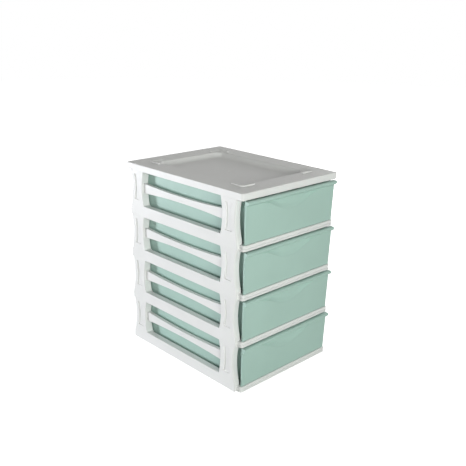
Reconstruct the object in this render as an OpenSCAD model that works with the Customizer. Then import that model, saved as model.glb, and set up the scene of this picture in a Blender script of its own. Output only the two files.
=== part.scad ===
// Desktop drawer unit: four open-sided tiers, each with a sliding drawer, under a lid with a tray.
// Front is -Y, up is +Z. The origin is on the table, under the middle of the closed unit.

/* [Overall size] */
// Width across the lid
lid_width = 180; // [160:1:240]
// Depth of the lid, front to back
lid_depth = 234; // [210:1:320]
// Height from one shelf's underside to the next one's
tier_height = 65; // [60:1:80]
// Height of the lid's skirt
lid_height = 9; // [8.6:0.2:12]

/* [Moulded walls] */
// Wall of the white parts
wall = 2.2; // [1.8:0.1:2.4]
// Wall of the drawers
drawer_wall = 1.8; // [1.4:0.1:2.4]

/* [Side frames] */
// Depth of a side frame at the guides beside its openings, left to right
frame_thick = 11; // [10.5:0.5:12]
// Depth of the rest of a side frame
rim_thick = 8.5; // [8:0.5:9.5]
// Height of the rail at the foot of a frame
rail_height = 16; // [14:1:20]
// Distance from the lid's edge to a pillar's outer edge at its foot
pillar_setback = 8; // [6:0.5:9]
// Distance from the lid's edge to a pillar's outer edge at its waist
pillar_waist = 12.1; // [11:0.1:14]
// Distance from the lid's edge to a pillar's inner edge at its waist
opening_edge = 35; // [33:1:45]
// How much wider a pillar is at its foot, on the inner edge
opening_flare = 3; // [2:0.5:4]
// Radius that softens a pillar's outer edge
pillar_round = 2; // [1:0.5:4]
// Height of the middle rail where it meets the pillars
mid_rail_end = 14; // [12:0.5:17]
// Height of the middle rail at its waist
mid_rail_waist = 8.4; // [6:0.1:10]
// How far the middle rail's face lies behind the pillars' faces
mid_rail_recess = 3.4; // [1:0.2:4]
// Radius in the corners of the side openings
opening_round = 1.5; // [1:0.5:4]

/* [Hollows in the pillars] */
// Height of a hollow
dish_height = 37; // [30:1:40]
// Width of a hollow at its ends
dish_end = 12; // [10:0.5:13]
// Width of a hollow at its waist
dish_waist = 7.6; // [6:0.2:9]
// Depth of a hollow
dish_depth = 1.4; // [1:0.2:3]

/* [Shelves] */
// Height of the strip along a shelf's front and back edge
strip_height = 7.6; // [7.4:0.1:9]
// Distance from the lid's edge to the end of a strip, left and right
strip_inset = 4; // [2:0.5:5]
// Corner radius of the strip
strip_corner = 4; // [3:0.5:5]

/* [Drawers] */
// Width of the front panel at its top edge
panel_width = 168; // [164:1:172]
// How much narrower the front panel is at its bottom edge
panel_taper = 2; // [0:0.5:4]
// How far the front panel leans forward from its bottom edge to its top edge
panel_lean = 1.7; // [0:0.1:2]
// Distance the lip stands out in front of the lid's edge
lip_reach = 5; // [3:0.5:8]
// Gap between a drawer and the frame at each side
side_gap = 1; // [0.8:0.1:1.5]
// Width of the curved grip below the lip
grip_width = 116; // [90:2:130]
// Height of the curved grip
grip_height = 17; // [12:1:20]
// Depth of the grip under the lip
grip_depth = 3; // [1.5:0.5:4]

/* [Lid] */
// Distance from the lid's edge to the rim of the tray
tray_margin = 30; // [28:1:36]
// Depth of the tray
tray_depth = 6.6; // [4:0.2:6.8]
// Distance from the lid's edge to a corner step
step_margin = 23; // [18:1:24]
// Height of a corner step
step_height = 1.7; // [1:0.1:2.5]

/* [Hidden] */
$fa = 3;
$fs = 0.4;
// Steps round the large circles, whose arcs are long and flat.
large_fn = 256;

white = [0.93, 0.93, 0.92];
mint = [0.68, 0.81, 0.75];

// The plane of the lid's front edge. Half the lip's reach keeps the origin under the whole outline.
front_y = (lip_reach - lid_depth) / 2;
lid_base = 4 * tier_height;
strip_half = lid_width / 2 - strip_inset;
inner_width = lid_width - 2 * frame_thick;
frame_depth = lid_depth - 2 * pillar_setback;

// A pillar's outer edge leaves its foot at waist_low, on an arc that is deepest at waist_z.
waist_low = strip_height + 5.4;
waist_z = 0.63 * tier_height;
waist_radius = arc_radius(waist_z - waist_low, pillar_waist - pillar_setback);
waist_centre = pillar_waist - waist_radius;

// The inner edges of the pillars.
flare_z = (rail_height + tier_height) / 2;
flare_radius = arc_radius((tier_height - rail_height) / 2, opening_flare);
flare_centre = opening_edge + flare_radius;

mid_rail_z = rail_height + 0.515 * (tier_height - rail_height);
mid_rail_radius = arc_radius(lid_depth / 2 - opening_edge, (mid_rail_end - mid_rail_waist) / 2);

dish_y = (opening_edge + pillar_waist) / 2;
dish_z = mid_rail_z + 0.3;
dish_radius = arc_radius(dish_height / 2, (dish_end - dish_waist) / 2);

// The studs that lock one tier to the next.
stud_radius = 2.6;
stud_height = 5.5;
stud_fit = 0.1;
stud_wall = 1.4;

// A shelf plate rests on a ledge along each frame.
ledge_z = strip_height - 2 * wall;
ledge_reach = 6;
seat_gap = 0.1;

// A drawer, measured from the lid's front edge and its own tier's underside.
panel_y = 1.3;
panel_thick = 2.2;
panel_low = strip_height + 0.4;
panel_high = tier_height - 1.3;
tub_width = inner_width - 2 * side_gap;
tub_front = panel_y - panel_lean + 1;
tub_back = lid_depth - 4.1;
tub_low = strip_height + 0.6;
tub_high = tier_height - 3;
tub_corner = 10;
tub_draft = 1.4;
tub_round = 4;
rim_radius = 1.5;
runner_gap = 0.05;

// The lip's nose, in depth and height.
nose_radius = 2.4;
nose_y = nose_radius - lip_reach;
nose_z = panel_high - nose_radius;
lip_low = tier_height - 8;

// The curved grip below the lip.
grip_steps = 36;
grip_edge_depth = 0.3;
grip_low = lip_low - grip_height;
grip_curve = arc_radius(grip_height, panel_front(lip_low) + grip_depth - panel_front(grip_low) - grip_edge_depth);

// The tray's side: a rounded rim, a steep face and a wide curve into the floor.
tray_slope = 62;
tray_corner = 14;
tray_rim_round = 2.5;
tray_foot_round = 9;
tray_straight = tray_depth - (tray_rim_round + tray_foot_round) * (1 - cos(tray_slope));
tray_run = (tray_rim_round + tray_foot_round) * sin(tray_slope) + tray_straight / tan(tray_slope);
tray_width = lid_width - 2 * tray_margin;
tray_length = lid_depth - 2 * tray_margin;
lid_corner = 3;

// Radius of the arc that rises by rise over half its chord.
function arc_radius(half_chord, rise) = (half_chord * half_chord + rise * rise) / (2 * rise);

// Distance from the lid's edge to a pillar's inner edge at a height.
function inner_edge(z) =
    flare_centre - sqrt(flare_radius * flare_radius - (z - flare_z) * (z - flare_z));

// Depth of the front panel's face at a height, and half the panel's width there.
function panel_front(z) = panel_y - panel_lean * (z - panel_low) / (panel_high - panel_low);
function panel_half(z) = (panel_width - panel_taper * (panel_high - z) / (panel_high - panel_low)) / 2;

// Where the straight line from a point touches a circle, on its lower side.
function touch_point(from, centre, radius) =
    let (way = from - centre,
         angle = atan2(way[1], way[0]) - acos(radius / norm(way)))
    centre + radius * [cos(angle), sin(angle)];

// ---------- Helpers ----------

// Puts a part in its tier, with Y from the lid's front edge and Z from the tier's underside.
module in_tier(tier) {
    translate([0, front_y, (tier - 1) * tier_height]) children();
}

// Extrudes a side view, drawn in depth and height, from one X to another.
module across(from, to) {
    translate([from, 0, 0]) rotate([90, 0, 90]) linear_extrude(to - from) children();
}

// A side view and its mirror image at the back.
module both_edges() {
    children();
    translate([lid_depth, 0]) mirror([1, 0]) children();
}

// A solid at the front and its mirror image at the back.
module front_and_back() {
    children();
    translate([0, lid_depth, 0]) mirror([0, 1, 0]) children();
}

module left_and_right() {
    children();
    mirror([1, 0, 0]) children();
}

// Sweeps a section round a rectangle with rounded corners. The section's first coordinate is the
// distance from the corner's centre, and its second is the height.
module sweep_ring(width, depth, corner) {
    half_x = width / 2 - corner;
    half_y = depth / 2 - corner;
    for (turn = [0, 180]) rotate(turn) {
        translate([-half_x, half_y, 0]) rotate([90, 0, 90]) linear_extrude(2 * half_x) children();
        translate([half_x, half_y, 0]) rotate([90, 0, 0]) linear_extrude(2 * half_y) children();
        translate([half_x, half_y, 0]) rotate_extrude(angle = 90) children();
        translate([-half_x, half_y, 0]) rotate(90) rotate_extrude(angle = 90) children();
    }
}

// The same sweep, filled in the middle from one height to another.
module sweep_block(width, depth, corner, low, high) {
    sweep_ring(width, depth, corner) children();
    translate([corner - width / 2, corner - depth / 2, low])
        cube([width - 2 * corner, depth - 2 * corner, high - low]);
}

// ---------- Side frames ----------

module frame_outline(inset) {
    difference() {
        translate([pillar_setback + inset, inset])
            square([frame_depth - 2 * inset, tier_height - 2 * inset]);
        both_edges() translate([waist_centre, waist_z]) circle(r = waist_radius + inset, $fn = large_fn);
    }
}

module mid_rail(inset) {
    difference() {
        translate([0, mid_rail_z - mid_rail_end / 2 + inset])
            square([lid_depth, mid_rail_end - 2 * inset]);
        for (side = [-1, 1])
            translate([lid_depth / 2, mid_rail_z + side * (mid_rail_waist / 2 + mid_rail_radius)])
                circle(r = mid_rail_radius + inset, $fn = large_fn);
    }
}

// The two side openings as one, before the middle rail crosses it.
module opening(grow) {
    intersection() {
        translate([0, rail_height - grow]) square([lid_depth, tier_height]);
        translate([flare_centre, flare_z]) circle(r = flare_radius + grow, $fn = large_fn);
        translate([lid_depth - flare_centre, flare_z]) circle(r = flare_radius + grow, $fn = large_fn);
    }
}

// Softens the corner where a rail meets the front pillar. Up is 1 above the rail and -1 below it,
// and the fill runs into the rail by root. Its circle starts a little inside the pillar.
module corner_fill(z, up, root = 1) {
    y = inner_edge(z + up * opening_round) - 0.05;
    difference() {
        translate([y - 2, up > 0 ? z - root : z - opening_round])
            square([opening_round + 2, opening_round + root]);
        translate([y + opening_round, z + up * opening_round]) circle(r = opening_round);
    }
}

module frame_face() {
    difference() {
        frame_outline(0);
        difference() {
            opening(0);
            mid_rail(0);
        }
    }
    both_edges() {
        corner_fill(rail_height, 1);
        corner_fill(mid_rail_z - mid_rail_end / 2 + 0.4, -1);
        corner_fill(mid_rail_z + mid_rail_end / 2 - 0.4, 1);
        corner_fill(tier_height, -1, 0);
    }
}

// The hollow behind the pillars and the foot rail, open towards the drawers.
module frame_core() {
    difference() {
        frame_outline(wall);
        opening(wall);
    }
}

// Ribs that cross the hollows.
module frame_ribs() {
    rib = 1.4;
    rib_count = 7;
    rib_pitch = (lid_depth - 2 * opening_edge) / (rib_count - 1);
    for (i = [0 : rib_count - 1])
        translate([0, opening_edge + i * rib_pitch - rib / 2, 0])
            cube([frame_thick, rib, mid_rail_z + mid_rail_end / 2]);
    for (z = [rail_height - wall, mid_rail_z - mid_rail_end / 2 - wall, mid_rail_z + mid_rail_end / 2])
        front_and_back() translate([0, 0, z]) cube([frame_thick, opening_edge, wall]);
}

// The part of the middle rail between the pillars, a little higher than the rail.
module mid_rail_band() {
    band = mid_rail_end + 2 * opening_round;
    intersection() {
        opening(0);
        translate([0, mid_rail_z - band / 2]) square([lid_depth, band]);
    }
}

module mid_rail_core() {
    intersection() {
        opening(0);
        mid_rail(wall);
    }
}

// The guides: the pillars' walls beside the openings, which keep the drawer in its track.
module guide_walls() {
    intersection() {
        frame_outline(0);
        both_edges() square([opening_edge + opening_flare + wall, tier_height]);
        difference() {
            opening(wall);
            opening(0);
        }
    }
}

// The waisted hollow in a pillar's outer face.
module dish(grow) {
    translate([dish_y, dish_z]) difference() {
        square([dish_end + 2 * grow, dish_height + 2 * grow], center = true);
        for (side = [-1, 1])
            translate([side * (dish_waist / 2 + dish_radius), 0]) circle(r = dish_radius - grow, $fn = large_fn);
    }
}

// A ring-shaped cutter that rounds a pillar's outer edge along its waist.
module waist_rounding() {
    translate([0, waist_centre, waist_z]) rotate([0, 90, 0]) rotate_extrude() difference() {
        translate([waist_radius - 0.5, -1]) square([pillar_round + 0.5, pillar_round + 1]);
        translate([waist_radius + pillar_round, pillar_round]) circle(r = pillar_round);
    }
}

module stud_places() {
    front_and_back() translate([rim_thick / 2, dish_y, 0]) children();
}

// A left frame, with X from its outer face.
module side_frame() {
    difference() {
        union() {
            difference() {
                across(0, rim_thick) frame_face();
                difference() {
                    union() {
                        across(wall, rim_thick + 1) frame_core();
                        across(mid_rail_recess + wall, rim_thick + 1) mid_rail_core();
                    }
                    frame_ribs();
                }
                across(-1, mid_rail_recess) mid_rail_band();
            }
            across(wall / 2, frame_thick) guide_walls();
            front_and_back() across(wall / 2, dish_depth + wall) dish(wall / 2);
            // The ledge that carries the shelf.
            translate([wall / 2, pillar_setback + wall, ledge_z])
                cube([frame_thick + ledge_reach - wall / 2, frame_depth - 2 * wall, wall]);
            stud_places() cylinder(r = stud_radius + stud_wall, h = stud_height + 2);
            stud_places() translate([0, 0, tier_height - wall]) cylinder(r = stud_radius, h = stud_height + wall);
        }
        front_and_back() across(-1, dish_depth) dish(0);
        front_and_back() waist_rounding();
        stud_places() translate([0, 0, -1]) cylinder(r = stud_radius + stud_fit, h = stud_height + 1.5);
    }
}

module left_frame(tier) {
    color(white) in_tier(tier) translate([-lid_width / 2, 0, 0]) side_frame();
}

module right_frame(tier) {
    color(white) mirror([1, 0, 0]) in_tier(tier) translate([-lid_width / 2, 0, 0]) side_frame();
}

// ---------- Shelves ----------

// Section of the strip: a rounded top bead, a shallow groove and a flat lower band.
module strip_section() {
    outside = strip_corner;
    bead = 1.2;
    groove = 0.9;
    translate([outside - wall, 0]) square([wall, 3]);
    translate([outside - wall, 1]) square([wall - groove, strip_height - 1]);
    translate([outside - wall, 5]) square([wall - bead, strip_height - 5]);
    translate([outside - wall, 5]) square([wall, strip_height - 5 - bead]);
    translate([outside - bead, strip_height - bead]) circle(r = bead);
}

// The strip along one edge, turned back at both ends until it meets the frames.
module edge_strip() {
    half_x = strip_half - strip_corner;
    translate([half_x, strip_corner, 0]) rotate([90, 0, -90]) linear_extrude(2 * half_x) strip_section();
    left_and_right() {
        translate([half_x, strip_corner, 0]) rotate(-90) rotate_extrude(angle = 90) strip_section();
        translate([half_x, pillar_setback - seat_gap, 0]) rotate([90, 0, 0])
            linear_extrude(pillar_setback - seat_gap - strip_corner) strip_section();
    }
}

module shelf(tier) {
    plate_z = strip_height - wall;
    plate_half = lid_width / 2 - rim_thick - seat_gap;
    rib = 1.6;
    color(white) in_tier(tier) {
        front_and_back() {
            edge_strip();
            translate([wall - strip_half, strip_corner, plate_z])
                cube([2 * (strip_half - wall), pillar_setback - seat_gap - strip_corner, wall]);
            translate([strip_corner - strip_half, wall / 2, plate_z])
                cube([2 * (strip_half - strip_corner), strip_corner, wall]);
            left_and_right() translate([strip_half - strip_corner, strip_corner, plate_z])
                rotate(-90) rotate_extrude(angle = 90) square([strip_corner - wall / 2, wall]);
        }
        translate([-plate_half, strip_corner, plate_z])
            cube([2 * plate_half, lid_depth - 2 * strip_corner, wall]);
        // Ribs under the plate. The outer two hook over the ledges' edges.
        for (x = [-1, -0.34, 0.34, 1])
            translate([x * (inner_width / 2 - ledge_reach - rib / 2 - 0.3) - rib / 2, wall / 2, ledge_z])
                cube([rib, lid_depth - wall, plate_z - ledge_z + wall / 2]);
        for (i = [1 : 3])
            translate([-inner_width / 2 + ledge_reach + 1, i * lid_depth / 4 - rib / 2, ledge_z])
                cube([inner_width - 2 * ledge_reach - 2, rib, plate_z - ledge_z + wall / 2]);
        // The stop behind the drawer.
        translate([-60, tub_back + 0.3, plate_z]) cube([120, 1.8, wall + 4.5]);
    }
}

// ---------- Drawers ----------

// Section of the drawer's side, inset by the wall for its inside.
module tub_section(inset) {
    low = tub_low + inset;
    round = tub_round - inset;
    side = tub_corner - inset;
    foot = side - tub_draft * (1 - round / (tub_high - tub_low));
    polygon([[0, low], [foot - round, low], [foot, low + round], [side, tub_high + inset], [0, tub_high + inset]]);
    translate([foot - round, low + round]) circle(r = round);
}

module tub_middle() {
    translate([0, (tub_front + tub_back) / 2, 0]) children();
}

// Outline of the curved grip, seen from the front: straight under the lip, bell-shaped below.
module grip_outline() {
    polygon([for (i = [0 : grip_steps])
        let (x = grip_width * (i / grip_steps - 0.5),
             drop = (1 + cos(360 * x / grip_width)) / 2)
        [x, lip_low - grip_height * drop]]);
}

// The round bar that shapes the grip's depth, grown by the wall for its back.
module grip_bar(grow) {
    across(-grip_width / 2 - 4, grip_width / 2 + 4)
        translate([panel_front(lip_low) + grip_depth - grip_curve, lip_low + 0.8])
            circle(r = grip_curve + grow, $fn = large_fn);
}

// The front panel: its side view, cut by its outline seen from the front.
module front_panel() {
    low = panel_low - 2;
    high = panel_high + 2;
    intersection() {
        across(-panel_width / 2, panel_width / 2)
            polygon([[panel_y, panel_low], [panel_y + panel_thick, panel_low],
                     [panel_front(panel_high) + panel_thick, panel_high], [panel_front(panel_high), panel_high]]);
        translate([0, 20, 0]) rotate([90, 0, 0]) linear_extrude(30)
            polygon([[-panel_half(low), low], [panel_half(low), low],
                     [panel_half(high), high], [-panel_half(high), high]]);
    }
}

// Section of the lip: a flat top, a round nose and an underside that runs back to the panel.
module lip_section() {
    root = [panel_front(lip_low), lip_low];
    under = touch_point(root, [nose_y, nose_z], nose_radius);
    back = panel_front(panel_high) + panel_thick;
    translate([nose_y, nose_z]) circle(r = nose_radius);
    polygon([[nose_y, panel_high], [back, panel_high], [back, lip_low - 1], root, under, [nose_y, nose_z]]);
}

module drawer(tier) {
    length = tub_back - tub_front;
    inner_length = length - 2 * drawer_wall;
    inner_width = tub_width - 2 * drawer_wall;
    back_of_grip = grip_width + 8;
    color(mint) in_tier(tier) difference() {
        union() {
            difference() {
                union() {
                    tub_middle() sweep_block(tub_width, length, tub_corner, tub_low, tub_high)
                        tub_section(0);
                    front_panel();
                    across(-panel_width / 2, panel_width / 2) lip_section();
                }
                tub_middle() sweep_block(inner_width, inner_length, tub_corner - drawer_wall,
                                         tub_low + drawer_wall, tub_high + drawer_wall)
                    tub_section(drawer_wall);
            }
            // The rolled rim.
            tub_middle() sweep_ring(tub_width, length, tub_corner)
                translate([tub_corner - rim_radius + 0.15, tub_high - rim_radius + 0.5])
                    circle(r = rim_radius);
            // The panel swells inwards behind the grip.
            intersection() {
                translate([-back_of_grip / 2, panel_front(panel_high) + 1, grip_low - 4])
                    cube([back_of_grip, 20, grip_height + 4]);
                grip_bar(panel_thick);
            }
            // The runners under the floor.
            left_and_right() translate([tub_width / 2 - 14, tub_front + 10, strip_height + runner_gap])
                cube([3, length - 20, 1]);
        }
        intersection() {
            translate([0, 20, 0]) rotate([90, 0, 0]) linear_extrude(30) grip_outline();
            grip_bar(0);
        }
    }
}

// ---------- Lid ----------

// Section of the tray's hollow, grown by the wall for its underside.
module tray_section(grow) {
    foot = [tray_corner - tray_run, lid_height - tray_depth + tray_foot_round];
    rim = [tray_corner, lid_height - tray_rim_round];
    low = lid_height - tray_depth - grow;
    way = [sin(tray_slope), -cos(tray_slope)];
    intersection() {
        translate(foot) circle(r = tray_foot_round + grow);
        translate([0, low - 1]) square([tray_corner, lid_height + 2 - low]);
    }
    difference() {
        polygon([[0, lid_height + 1], [0, low], [foot[0], low], foot + (tray_foot_round + grow) * way,
                 rim - (tray_rim_round - grow) * way, [tray_corner, lid_height - grow],
                 [tray_corner, lid_height + 1]]);
        translate(rim) circle(r = tray_rim_round - grow);
    }
}

// Section of the lid's outside, with a soft top edge.
module lid_section() {
    soft = 1;
    square([lid_corner - soft, lid_height]);
    square([lid_corner, lid_height - soft]);
    translate([lid_corner - soft, lid_height - soft]) circle(r = soft);
}

// One corner step: a low upright face on the outside, with a slope behind it.
module corner_step() {
    arm = 21;
    bend = 5;
    slope = 5;
    far = [step_margin - lid_width / 2 + bend, step_margin - lid_depth / 2 + bend];
    translate([far[0], far[1], lid_height]) {
        rotate(180) rotate_extrude(angle = 90) step_section(bend, slope);
        rotate([90, 0, -90]) mirror([0, 0, 1]) linear_extrude(arm - bend) step_section(bend, slope);
        rotate([90, 0, 180]) linear_extrude(arm - bend) step_section(bend, slope);
    }
}

module step_section(bend, slope) {
    polygon([[bend - slope, 0], [bend - slope, -0.5], [bend, -0.5], [bend, step_height - 0.3],
             [bend - 0.3, step_height], [bend - 0.8, step_height]]);
}

module lid() {
    hollow = 3;
    color(white) translate([0, front_y + lid_depth / 2, lid_base]) {
        difference() {
            sweep_block(lid_width, lid_depth, lid_corner, 0, lid_height) lid_section();
            // The tray.
            sweep_block(tray_width, tray_length, tray_corner, lid_height - tray_depth, lid_height + 1)
                tray_section(0);
            // The hollow underside, round the tray.
            difference() {
                translate([wall - lid_width / 2, wall - lid_depth / 2, -1])
                    cube([lid_width - 2 * wall, lid_depth - 2 * wall, lid_height - wall + 1]);
                sweep_block(tray_width, tray_length, tray_corner, lid_height - tray_depth - wall, lid_height)
                    tray_section(wall);
                lid_ribs(hollow);
                lid_sockets() cylinder(r = stud_radius + stud_wall, h = lid_height);
            }
            lid_sockets() translate([0, 0, -1]) cylinder(r = stud_radius + stud_fit, h = stud_height + 1.5);
        }
        left_and_right() corner_step();
        mirror([0, 1, 0]) left_and_right() corner_step();
    }
}

module lid_sockets() {
    for (x = [-1, 1], y = [-1, 1])
        translate([x * (lid_width - rim_thick) / 2, y * (lid_depth / 2 - dish_y), 0]) children();
}

// Ribs that join the lid's skirt to the tray.
module lid_ribs(low) {
    rib = 1.6;
    for (i = [-2 : 2])
        translate([-lid_width / 2, i * lid_depth / 6 - rib / 2, low]) cube([lid_width, rib, lid_height - low]);
    for (i = [-2 : 2])
        translate([i * lid_width / 6 - rib / 2, -lid_depth / 2, low]) cube([rib, lid_depth, lid_height - low]);
}

// ---------- Assembly ----------

lid();
shelf(1);  // shelf_1
shelf(2);  // shelf_2
shelf(3);  // shelf_3
shelf(4);  // shelf_4
left_frame(1);  // left_frame_1
left_frame(2);  // left_frame_2
left_frame(3);  // left_frame_3
left_frame(4);  // left_frame_4
right_frame(1);  // right_frame_1
right_frame(2);  // right_frame_2
right_frame(3);  // right_frame_3
right_frame(4);  // right_frame_4
drawer(1);  // drawer_1
drawer(2);  // drawer_2
drawer(3);  // drawer_3
drawer(4);  // drawer_4
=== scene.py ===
import math

import bpy
from mathutils import Matrix, Vector


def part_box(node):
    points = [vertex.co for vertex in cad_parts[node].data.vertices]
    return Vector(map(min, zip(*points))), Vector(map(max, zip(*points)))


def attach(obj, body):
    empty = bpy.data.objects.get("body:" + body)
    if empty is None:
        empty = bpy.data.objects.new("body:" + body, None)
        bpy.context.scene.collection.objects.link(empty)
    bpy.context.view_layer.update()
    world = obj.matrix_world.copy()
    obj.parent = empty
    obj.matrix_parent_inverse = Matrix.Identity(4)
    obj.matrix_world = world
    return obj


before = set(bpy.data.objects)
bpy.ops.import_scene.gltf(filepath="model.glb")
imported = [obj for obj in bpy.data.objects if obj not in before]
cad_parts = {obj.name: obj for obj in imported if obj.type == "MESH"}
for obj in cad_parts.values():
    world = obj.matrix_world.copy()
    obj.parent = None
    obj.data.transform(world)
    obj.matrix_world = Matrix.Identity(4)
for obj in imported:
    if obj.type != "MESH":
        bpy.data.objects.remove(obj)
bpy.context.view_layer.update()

bpy.ops.object.select_all(action="DESELECT")
scene = bpy.context.scene
scene.view_settings.view_transform = "Standard"


# ---------- Camera ----------
# The unit is seen from its front left corner, a little above the lid, turned by a degree as the
# photographer held it. The place and the angles were solved from the lid's corners and the tiers.
camera_place = Vector((-0.6279, -0.6552, 0.4736))
camera_heading = math.radians(-44.06)
camera_height_angle = math.radians(18.33)
camera_roll = math.radians(1.0)
camera_lens_mm = 51.89
camera_sensor_mm = 36
nearest_seen = 0.02

camera_data = bpy.data.cameras.new("camera")
camera_data.sensor_width = camera_sensor_mm
camera_data.lens = camera_lens_mm
camera_data.clip_start = nearest_seen
camera = bpy.data.objects.new("camera", camera_data)
scene.collection.objects.link(camera)
camera.matrix_world = (
    Matrix.Translation(camera_place)
    @ Matrix.Rotation(camera_heading, 4, "Z")
    @ Matrix.Rotation(math.pi / 2 - camera_height_angle, 4, "X")
    @ Matrix.Rotation(camera_roll, 4, "Z")
)
scene.camera = camera


# ---------- Studio ----------
# A white table top under a white surround. The camera and reflections see both as white; the table
# keeps a faint shadow under the unit. Four soft lamps stand low at the rear left, at the front left,
# at the right and overhead.
table_radius = 4.0
table_corners = 96
table_drop = 0.0002
table_albedo = 0.75
table_glow = 0.9
surround_light = 0.16
surround_seen = 1.0

world = bpy.data.worlds.new("surround")
scene.world = world
world.use_nodes = True
world_nodes = world.node_tree.nodes
world_links = world.node_tree.links
surround = world_nodes["Background"]
surround.inputs["Color"].default_value = (1, 1, 1, 1)
world_ray = world_nodes.new("ShaderNodeLightPath")
seen = world_nodes.new("ShaderNodeMath")
seen.operation = "MAXIMUM"
world_links.new(world_ray.outputs["Is Camera Ray"], seen.inputs[0])
world_links.new(world_ray.outputs["Is Glossy Ray"], seen.inputs[1])
strength = world_nodes.new("ShaderNodeMapRange")
strength.inputs["To Min"].default_value = surround_light
strength.inputs["To Max"].default_value = surround_seen
world_links.new(seen.outputs[0], strength.inputs["Value"])
world_links.new(strength.outputs["Result"], surround.inputs["Strength"])

bpy.ops.mesh.primitive_circle_add(
    vertices=table_corners, radius=table_radius, fill_type="NGON", location=(0, 0, -table_drop))
table = bpy.context.object
table.name = "table_top"
table_paint = bpy.data.materials.new("table_white")
table_paint.use_nodes = True
paint_nodes = table_paint.node_tree.nodes
paint_links = table_paint.node_tree.links
paint_nodes.clear()
matt = paint_nodes.new("ShaderNodeBsdfDiffuse")
matt.inputs["Color"].default_value = (table_albedo, table_albedo, table_albedo, 1)
glow = paint_nodes.new("ShaderNodeEmission")
glow.inputs["Strength"].default_value = table_glow
lit = paint_nodes.new("ShaderNodeAddShader")
paint_links.new(matt.outputs[0], lit.inputs[0])
paint_links.new(glow.outputs[0], lit.inputs[1])
table_ray = paint_nodes.new("ShaderNodeLightPath")
by_ray = paint_nodes.new("ShaderNodeMixShader")
paint_links.new(table_ray.outputs["Is Camera Ray"], by_ray.inputs["Fac"])
paint_links.new(matt.outputs[0], by_ray.inputs[1])
paint_links.new(lit.outputs[0], by_ray.inputs[2])
paint_out = paint_nodes.new("ShaderNodeOutputMaterial")
paint_links.new(by_ray.outputs[0], paint_out.inputs["Surface"])
table.data.materials.append(table_paint)


def soft_lamp(name, place, aim, size, watts, tint):
    """A soft box at place, turned towards aim."""
    data = bpy.data.lights.new(name, "AREA")
    data.shape = "RECTANGLE"
    data.size, data.size_y = size
    data.energy = watts
    data.color = tint
    lamp = bpy.data.objects.new(name, data)
    scene.collection.objects.link(lamp)
    way = Vector(aim) - Vector(place)
    lamp.matrix_world = Matrix.Translation(place) @ way.to_track_quat("-Z", "Y").to_matrix().to_4x4()


soft_lamp("side_lamp", (-1.15, 1.35, 0.14), (0, 0, 0.135), (0.3, 0.3), 22.4, (0.945, 0.96, 1.0))
soft_lamp("front_lamp", (-0.6, -1.25, 0.45), (0, 0, 0.13), (0.6, 0.4), 11.4, (0.965, 1.0, 0.955))
soft_lamp("right_lamp", (1.5, 0.5, 0.3), (0, 0, 0.13), (0.6, 0.6), 14, (1.0, 1.0, 1.0))
soft_lamp("top_lamp", (0.25, 0.2, 1.5), (0, 0, 0.27), (0.8, 0.8), 1.6, (1.0, 1.0, 0.9))


# ---------- White mouldings ----------
# The lid, the four shelves and the eight side frames are injection moulded in white plastic with a
# satin grain from the tool, a trace of grey where the plastic flowed slower, and soft edges.
white_colour = (0.86, 0.86, 0.855)
white_roughness = 0.42
white_edge_radius = 0.0006
plastic_ior = 1.49
plastic_specular = 0.3
cloud_scale, cloud_detail, cloud_shade = 22, 3, 0.965
cloud_dark_end, cloud_light_end = 0.3, 0.7
polish_scale, polish_detail = 60, 4
polish_smoother, polish_rougher = 0.05, 0.06
edge_samples = 6
grain_scale, grain_detail, grain_strength, grain_height = 2600, 2, 0.25, 0.00006
wave_scale, wave_detail, wave_strength, wave_height = 28, 1, 0.3, 0.0006


def moulded_plastic(name, colour, roughness, edge_radius):
    """A satin plastic: faint cloudy colour, a fine grain, shallow waves where it shrank, soft edges."""
    material = bpy.data.materials.new(name)
    material.use_nodes = True
    nodes = material.node_tree.nodes
    links = material.node_tree.links
    shader = nodes["Principled BSDF"]
    shader.inputs["IOR"].default_value = plastic_ior
    shader.inputs["Specular IOR Level"].default_value = plastic_specular
    place = nodes.new("ShaderNodeTexCoord")

    def noise(scale, detail):
        texture = nodes.new("ShaderNodeTexNoise")
        texture.inputs["Scale"].default_value = scale
        texture.inputs["Detail"].default_value = detail
        links.new(place.outputs["Object"], texture.inputs["Vector"])
        return texture.outputs["Fac"]

    def bump(height, strength, distance, normal):
        node = nodes.new("ShaderNodeBump")
        node.inputs["Strength"].default_value = strength
        node.inputs["Distance"].default_value = distance
        links.new(height, node.inputs["Height"])
        links.new(normal, node.inputs["Normal"])
        return node.outputs["Normal"]

    shade = nodes.new("ShaderNodeValToRGB")
    dark, light = shade.color_ramp.elements
    dark.position, light.position = cloud_dark_end, cloud_light_end
    dark.color = (*[channel * cloud_shade for channel in colour], 1)
    light.color = (*colour, 1)
    links.new(noise(cloud_scale, cloud_detail), shade.inputs["Fac"])
    links.new(shade.outputs["Color"], shader.inputs["Base Color"])

    polish = nodes.new("ShaderNodeMapRange")
    polish.inputs["To Min"].default_value = roughness - polish_smoother
    polish.inputs["To Max"].default_value = roughness + polish_rougher
    links.new(noise(polish_scale, polish_detail), polish.inputs["Value"])
    links.new(polish.outputs["Result"], shader.inputs["Roughness"])

    soft_edge = nodes.new("ShaderNodeBevel")
    soft_edge.samples = edge_samples
    soft_edge.inputs["Radius"].default_value = edge_radius
    grain = bump(noise(grain_scale, grain_detail), grain_strength, grain_height, soft_edge.outputs["Normal"])
    waves = bump(noise(wave_scale, wave_detail), wave_strength, wave_height, grain)
    links.new(waves, shader.inputs["Normal"])
    return material


white_plastic = moulded_plastic("white_plastic", white_colour, white_roughness, white_edge_radius)
white_nodes = ["lid"] + [
    f"{name}_{tier}" for tier in range(1, 5) for name in ("shelf", "left_frame", "right_frame")]
for name in white_nodes:
    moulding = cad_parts[name]
    moulding.data.materials.clear()
    moulding.data.materials.append(white_plastic)


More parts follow.
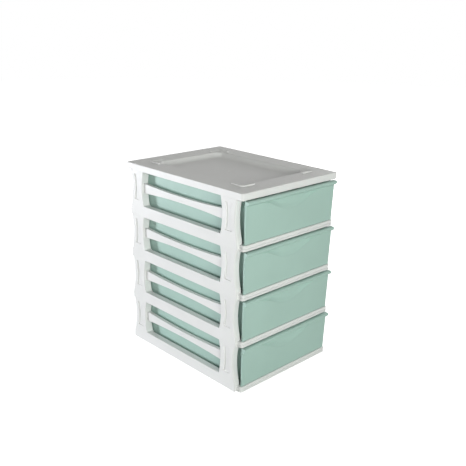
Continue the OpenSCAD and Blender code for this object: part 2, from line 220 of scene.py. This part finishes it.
# ---------- Moulding marks ----------
# Ejector pins leave two small dished discs at the middle of each middle rail, and the lid's plastic
# came in through a gate whose trimmed stub is a slightly larger disc in the middle of the tray.
pin_radius = 0.0011
pin_places = (-0.0036, 0.0034)
rail_face = 0.0866
rail_middle = 0.0412
gate_radius = 0.002
gate_place = (0, 0.0025)
tray_floor = 0.2624
mark_height = 0.00025
mark_depth = 0.001
mark_edge = 0.000075
mark_dish = 0.0002
rim_share, slope_share = 0.25, 0.15
mark_sides = 32
facing_up = 0.99
smooth_angle = math.radians(40)


def moulding_mark(name, place, turn, radius):
    """A low disc with a dished face and a soft edge, let into the surface at place."""
    bpy.ops.object.select_all(action="DESELECT")
    bpy.ops.mesh.primitive_cylinder_add(
        vertices=mark_sides, radius=radius, depth=mark_depth, location=place, rotation=turn)
    mark = bpy.context.object
    mark.name = name
    top = max(mark.data.polygons, key=lambda face: face.normal.z).index
    bpy.ops.object.mode_set(mode="EDIT")
    bpy.ops.mesh.select_mode(type="FACE")
    bpy.ops.mesh.select_all(action="DESELECT")
    bpy.ops.object.mode_set(mode="OBJECT")
    mark.data.polygons[top].select = True
    bpy.ops.object.mode_set(mode="EDIT")
    bpy.ops.mesh.bevel(offset=mark_edge, segments=2, affect="EDGES")
    bpy.ops.object.mode_set(mode="OBJECT")
    for face in mark.data.polygons:
        face.select = face.normal.z > facing_up
    bpy.ops.object.mode_set(mode="EDIT")
    bpy.ops.mesh.inset(thickness=rim_share * radius, depth=0)
    bpy.ops.mesh.inset(thickness=slope_share * radius, depth=-mark_dish)
    bpy.ops.mesh.select_all(action="SELECT")
    bpy.ops.mesh.normals_make_consistent(inside=False)
    bpy.ops.object.mode_set(mode="OBJECT")
    bpy.ops.object.transform_apply(location=True, rotation=True, scale=True)
    bpy.ops.object.shade_smooth_by_angle(angle=smooth_angle)
    mark.data.materials.append(white_plastic)
    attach(mark, "housing")


for tier in range(1, 5):
    for side, sign in (("left", -1), ("right", 1)):
        frame_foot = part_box(f"{side}_frame_{tier}")[0][2]
        for number, along in enumerate(pin_places, start=1):
            moulding_mark(f"{side}_pin_mark_{tier}_{number}",
                          (sign * (rail_face - mark_height), along, frame_foot + rail_middle),
                          (0, sign * math.pi / 2, 0), pin_radius)
moulding_mark("gate_mark", (*gate_place, tray_floor - mark_height), (0, 0, 0), gate_radius)


# ---------- Drawers ----------
# Four drawers moulded in mint-green plastic, a touch softer in gloss than the housing, with wider
# soft edges at the lip and the front.
mint_colour = (0.445, 0.62, 0.56)
mint_roughness = 0.45
mint_edge_radius = 0.0009
mint_plastic = moulded_plastic("mint_plastic", mint_colour, mint_roughness, mint_edge_radius)
for tier in range(1, 5):
    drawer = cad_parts[f"drawer_{tier}"]
    drawer.data.materials.clear()
    drawer.data.materials.append(mint_plastic)


# ---------- Grips ----------
# Below its lip each front is scooped for the fingers. The scoop starts at a bell-shaped crease and
# runs in along a soft fillet, which is what this piece fills in; it is one moulding with the drawer.
tier_height = 0.065
front_foot_y, front_foot_z = -0.1132, 0.0080
front_head_y, front_head_z = -0.1149, 0.0637
lip_underside = 0.057
grip_half_width = 0.058
grip_height = 0.017
grip_depth = 0.003
scoop_radius = 0.06734
scoop_middle_above_lip = 0.0008
fillet_width = 0.0065
fillet_share = 0.97
fillet_columns = 72
fillet_rows = 14
fillet_proud = 0.00003
fillet_sunk = 0.00006
fillet_in_lip = 0.00012
fillet_root = 0.0003
first_step = 0.0001
row_end = 0.001


def front_face(z):
    """The y of the leaning front at height z above the tier's foot."""
    share = (z - front_foot_z) / (front_head_z - front_foot_z)
    return front_foot_y + share * (front_head_y - front_foot_y)


def scoop_face(z):
    """The y of the scoop's round floor at height z."""
    middle = front_face(lip_underside) + grip_depth - scoop_radius
    return middle + math.sqrt(scoop_radius ** 2 - (z - lip_underside - scoop_middle_above_lip) ** 2)


for tier in range(1, 5):
    foot = tier_height * (tier - 1)
    bpy.ops.object.select_all(action="DESELECT")
    bpy.ops.mesh.primitive_grid_add(x_subdivisions=fillet_columns, y_subdivisions=fillet_rows, size=2)
    fillet = bpy.context.object
    fillet.name = f"grip_fillet_{tier}"
    for vertex in fillet.data.vertices:
        across, up = fillet_share * vertex.co.x, (vertex.co.y + 1) / 2
        crease = lip_underside - grip_height * (1 + math.cos(math.pi * across)) / 2
        z = crease + up * (lip_underside - crease)
        fall = 1 - (1 - min(1, (z - crease) / fillet_width)) ** 2
        y = front_face(z) + fall * (scoop_face(z) - front_face(z)) - fillet_proud
        if up < row_end:
            # The lowest row is sunk just behind the front.
            z, y = z - fillet_sunk, y + fillet_sunk
        if up > 1 - row_end:
            # The highest row is sunk into the lip.
            z += fillet_in_lip
        vertex.co = (across * grip_half_width, y, foot + z)
    bpy.ops.object.mode_set(mode="EDIT")
    bpy.ops.mesh.select_all(action="SELECT")
    bpy.ops.mesh.extrude_region_move(TRANSFORM_OT_translate={"value": (0, first_step, 0)})
    bpy.ops.object.mode_set(mode="OBJECT")
    for vertex in fillet.data.vertices:
        if vertex.select:
            vertex.co.y = scoop_face(vertex.co.z - foot) + fillet_root
    bpy.ops.object.mode_set(mode="EDIT")
    bpy.ops.mesh.select_all(action="SELECT")
    bpy.ops.mesh.normals_make_consistent(inside=False)
    bpy.ops.object.mode_set(mode="OBJECT")
    bpy.ops.object.shade_smooth_by_angle(angle=smooth_angle)
    fillet.data.materials.append(mint_plastic)
    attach(fillet, f"drawer_{tier}")
